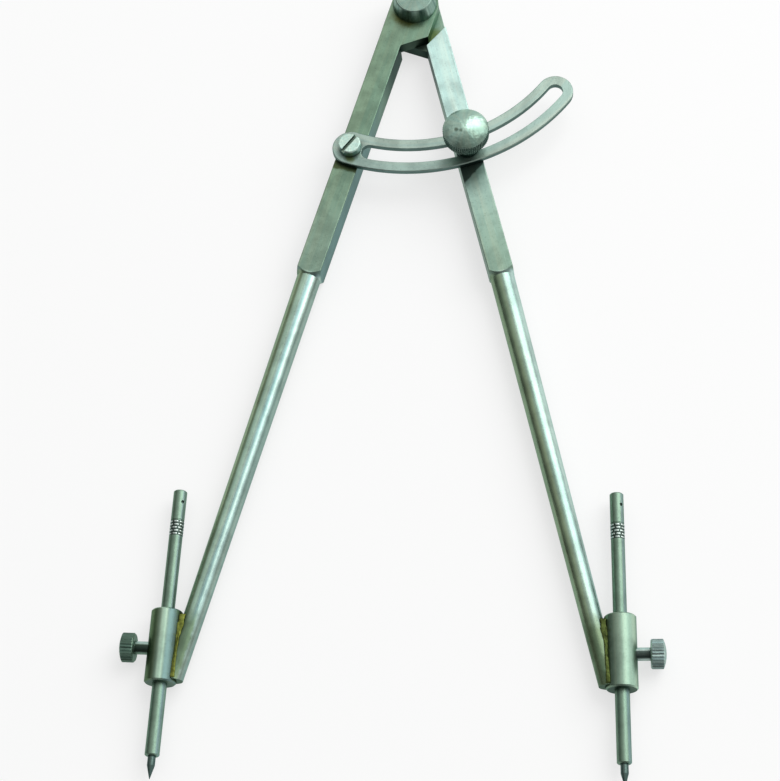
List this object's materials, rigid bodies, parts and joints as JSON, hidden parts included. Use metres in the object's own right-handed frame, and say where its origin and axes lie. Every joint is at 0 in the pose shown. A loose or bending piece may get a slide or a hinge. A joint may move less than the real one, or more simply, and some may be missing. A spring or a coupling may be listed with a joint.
{
  "type": "hinged divider",
  "caption": "Steel wing divider with square bars turned to tapered rods, a slotted clamp arc and sleeve-held carbide scribers set by thumb screws.",
  "frame": {"origin": "on the hinge axis, in the plane of the bars' back faces", "axes": "+Z out of the front along the hinge axis, -Y from the hinge towards the feet, +X to the right seen from the front"},
  "size_m": [0.2072, 0.3452, 0.0315],
  "materials": {
    "bar_steel": "satin, slightly greenish grey with faint stains",
    "sleeve_steel": "satin turned steel",
    "arc_steel": "satin sheet steel",
    "shank_steel": "ground steel",
    "screw_steel": "bright turned steel",
    "knurled_steel": "dark knurled steel",
    "braze": "dull, uneven braze",
    "carbide": "dark ground carbide"
  },
  "bodies": {
    "left_leg": {"left_leg": "bar_steel", "left_sleeve": "sleeve_steel", "left_braze": "braze", "wing_arc": "arc_steel", "arc_screw": "screw_steel"},
    "right_leg": {"right_leg": "bar_steel", "right_sleeve": "sleeve_steel", "right_braze": "braze", "clamp_stud": "bar_steel"},
    "left_scriber": {"left_shank": "shank_steel", "left_tip": "carbide"},
    "right_scriber": {"right_shank": "shank_steel", "right_tip": "carbide"},
    "left_thumb": {"left_thumb_screw": "knurled_steel"},
    "right_thumb": {"right_thumb_screw": "knurled_steel"},
    "clamp": {"clamp_nut": "screw_steel"},
    "pivot": {"hinge_screw": "knurled_steel"}
  },
  "joints": [
    {"name": "leg_opening", "type": "hinge", "parent": "left_leg", "child": "right_leg", "pos_m": [0, 0, 0], "axis": [0, 0, 1], "range_deg": [-27.5, 33.5]},
    {"name": "left_scriber_slide", "type": "slide", "parent": "left_leg", "child": "left_scriber", "axis": [-0.0262, -0.9997, 0], "range_m": [-0.03, 0.015]},
    {"name": "right_scriber_slide", "type": "slide", "parent": "right_leg", "child": "right_scriber", "axis": [0.0262, -0.9997, 0], "range_m": [-0.03, 0.015]},
    {"name": "left_thumb_turn", "type": "hinge", "parent": "left_leg", "child": "left_thumb", "pos_m": [-0.08669, -0.28485, 0.0055], "axis": [-0.9997, 0.0262, 0], "range_deg": [0, 360]},
    {"name": "right_thumb_turn", "type": "hinge", "parent": "right_leg", "child": "right_thumb", "pos_m": [0.08669, -0.28485, 0.0055], "axis": [0.9997, 0.0262, 0], "range_deg": [0, 360]},
    {"name": "clamp_turn", "type": "hinge", "parent": "right_leg", "child": "clamp", "pos_m": [0.0242, -0.07099, 0.0135], "axis": [0, 0, 1], "range_deg": [0, 360]},
    {"name": "pivot_turn", "type": "hinge", "parent": "right_leg", "child": "pivot", "pos_m": [0, 0, 0.011], "axis": [0, 0, 1], "range_deg": [0, 360]}
  ]
}
